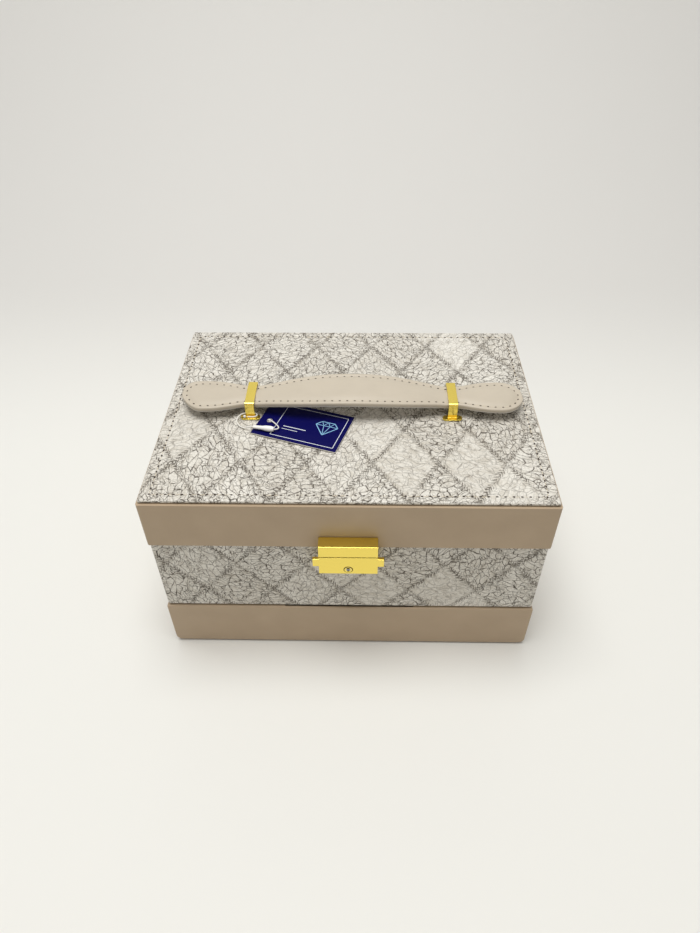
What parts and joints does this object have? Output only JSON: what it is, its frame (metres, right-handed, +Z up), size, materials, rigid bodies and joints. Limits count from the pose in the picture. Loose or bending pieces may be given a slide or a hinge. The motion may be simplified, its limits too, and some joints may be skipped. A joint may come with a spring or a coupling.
{
  "type": "jewellery box",
  "caption": "Leatherette jewellery chest: hinged mirrored lid with strap handle and push lock, lift-out tray with ring rolls, and a full-width base drawer.",
  "frame": {"origin": "on the table under the middle of the chest, lock and hinges included", "axes": "+X to the viewer's right across the front, +Y to the back, +Z up; the lock is on the -Y face"},
  "size_m": [0.23, 0.1884, 0.1469],
  "materials": {
    "crackle_leatherette": "off-white leatherette embossed with dark crackle lines in stitched diamonds",
    "smooth_leatherette": "smooth taupe leatherette, satin",
    "handle_leatherette": "smooth padded beige leatherette, satin, stitched",
    "handle_lining": "pale smooth lining",
    "velvet": "short-pile velvet over board",
    "felt": "dense felt",
    "gilt_metal": "polished gold plating",
    "spring_steel": "drawn wire",
    "mirror_glass": "silvered glass",
    "printed_card": "laminated card",
    "white_thread": "smooth thread",
    "white_plastic": "moulded",
    "fibreboard": "covered fibreboard"
  },
  "bodies": {
    "chest": {"back_panel": "crackle_leatherette", "base_board": "fibreboard", "base_felt": "felt", "compartment_floor": "fibreboard", "front_panel": "crackle_leatherette", "hinge_body_screw_left_left": "gilt_metal", "hinge_body_screw_left_right": "gilt_metal", "hinge_body_screw_right_left": "gilt_metal", "hinge_body_screw_right_right": "gilt_metal", "hinge_leaf_body_left": "gilt_metal", "hinge_leaf_body_right": "gilt_metal", "hinge_pin_left": "gilt_metal", "hinge_pin_right": "gilt_metal", "inner_lip": "velvet", "lock_case": "gilt_metal", "lock_spring_left": "spring_steel", "lock_spring_right": "spring_steel", "lower_divider": "velvet", "lower_lining": "velvet", "plinth_back": "smooth_leatherette", "plinth_left": "smooth_leatherette", "plinth_right": "smooth_leatherette", "side_panel_left": "crackle_leatherette", "side_panel_right": "crackle_leatherette", "tray_ledge_left": "velvet", "tray_ledge_right": "velvet"},
    "lid": {"handle_loop_left": "gilt_metal", "handle_loop_right": "gilt_metal", "hinge_leaf_lid_left": "gilt_metal", "hinge_leaf_lid_right": "gilt_metal", "hinge_lid_screw_left_left": "gilt_metal", "hinge_lid_screw_left_right": "gilt_metal", "hinge_lid_screw_right_left": "gilt_metal", "hinge_lid_screw_right_right": "gilt_metal", "lid_frame": "smooth_leatherette", "lid_lining": "velvet", "lid_top_panel": "crackle_leatherette", "lock_strike": "gilt_metal", "lock_tongue": "gilt_metal", "mirror": "mirror_glass", "mirror_frame": "gilt_metal", "tag_knot": "white_thread", "tag_seal": "white_plastic", "tag_thread": "white_thread"},
    "handle": {"handle_lining": "handle_lining", "handle_strap": "handle_leatherette"},
    "tray": {"ring_cushion": "velvet", "tray_box": "velvet", "tray_divider": "velvet", "tray_pull_left": "velvet", "tray_pull_right": "velvet"},
    "drawer": {"drawer_box": "velvet", "drawer_divider_1": "velvet", "drawer_divider_2": "velvet", "drawer_front": "smooth_leatherette", "drawer_lining": "velvet"},
    "lock_slider": {"lock_slider": "gilt_metal"},
    "key_plug": {"key_plug": "gilt_metal"},
    "hang_tag": {"hang_tag": "printed_card"}
  },
  "joints": [
    {"name": "lid_hinge", "type": "hinge", "parent": "chest", "child": "lid", "pos_m": [0, 0.0903, 0.09665], "axis": [-1, 0, 0], "range_deg": [0, 100]},
    {"name": "drawer_slide", "type": "slide", "parent": "chest", "child": "drawer", "axis": [0, -1, 0], "range_m": [0, 0.11]},
    {"name": "tray_lift", "type": "slide", "parent": "chest", "child": "tray", "axis": [0, 0, 1], "range_m": [0, 0.022]},
    {"name": "handle_slide", "type": "slide", "parent": "lid", "child": "handle", "axis": [1, 0, 0], "range_m": [-0.0025, 0.0025]},
    {"name": "lock_press", "type": "slide", "parent": "chest", "child": "lock_slider", "axis": [0, 0, -1], "range_m": [0, 0.0025], "stiffness_N_per_m": 200, "springref_m": -0.002, "deforming": ["lock_spring_left", "lock_spring_right"]},
    {"name": "key_turn", "type": "hinge", "parent": "chest", "child": "key_plug", "pos_m": [0, -0.0939, 0.0866], "axis": [0, 1, 0], "range_deg": [0, 90]},
    {"name": "tag_swing", "type": "hinge", "parent": "lid", "child": "hang_tag", "pos_m": [-0.04882, -0.01689, 0.1327], "axis": [0, 0, 1], "range_deg": [-8, 2]}
  ]
}
